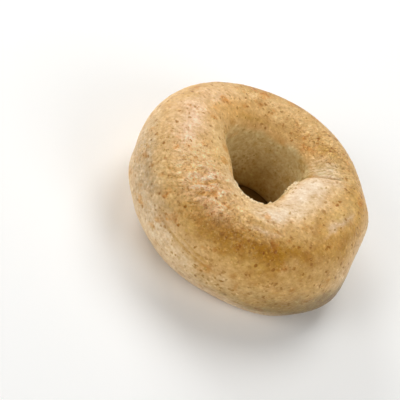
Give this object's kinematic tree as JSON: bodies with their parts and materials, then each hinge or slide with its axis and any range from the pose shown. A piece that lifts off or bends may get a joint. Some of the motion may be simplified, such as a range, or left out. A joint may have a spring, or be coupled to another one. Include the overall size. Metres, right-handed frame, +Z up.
{
  "type": "bagel",
  "caption": "Ring-shaped wholemeal bread roll with a domed browned top, a flat underside, a deep off-centre hole and a crease where the ends of the dough overlap.",
  "frame": {"origin": "middle of the outline, on the flat underside", "axes": "+Z up through the hole, from the underside to the crown; -Y towards the fat side of the ring; +X towards the crease where the ends of the dough overlap"},
  "size_m": [0.1088, 0.107, 0.0486],
  "materials": {
    "crust": "matte"
  },
  "bodies": {
    "root": {"bagel": "crust"}
  },
  "joints": []
}
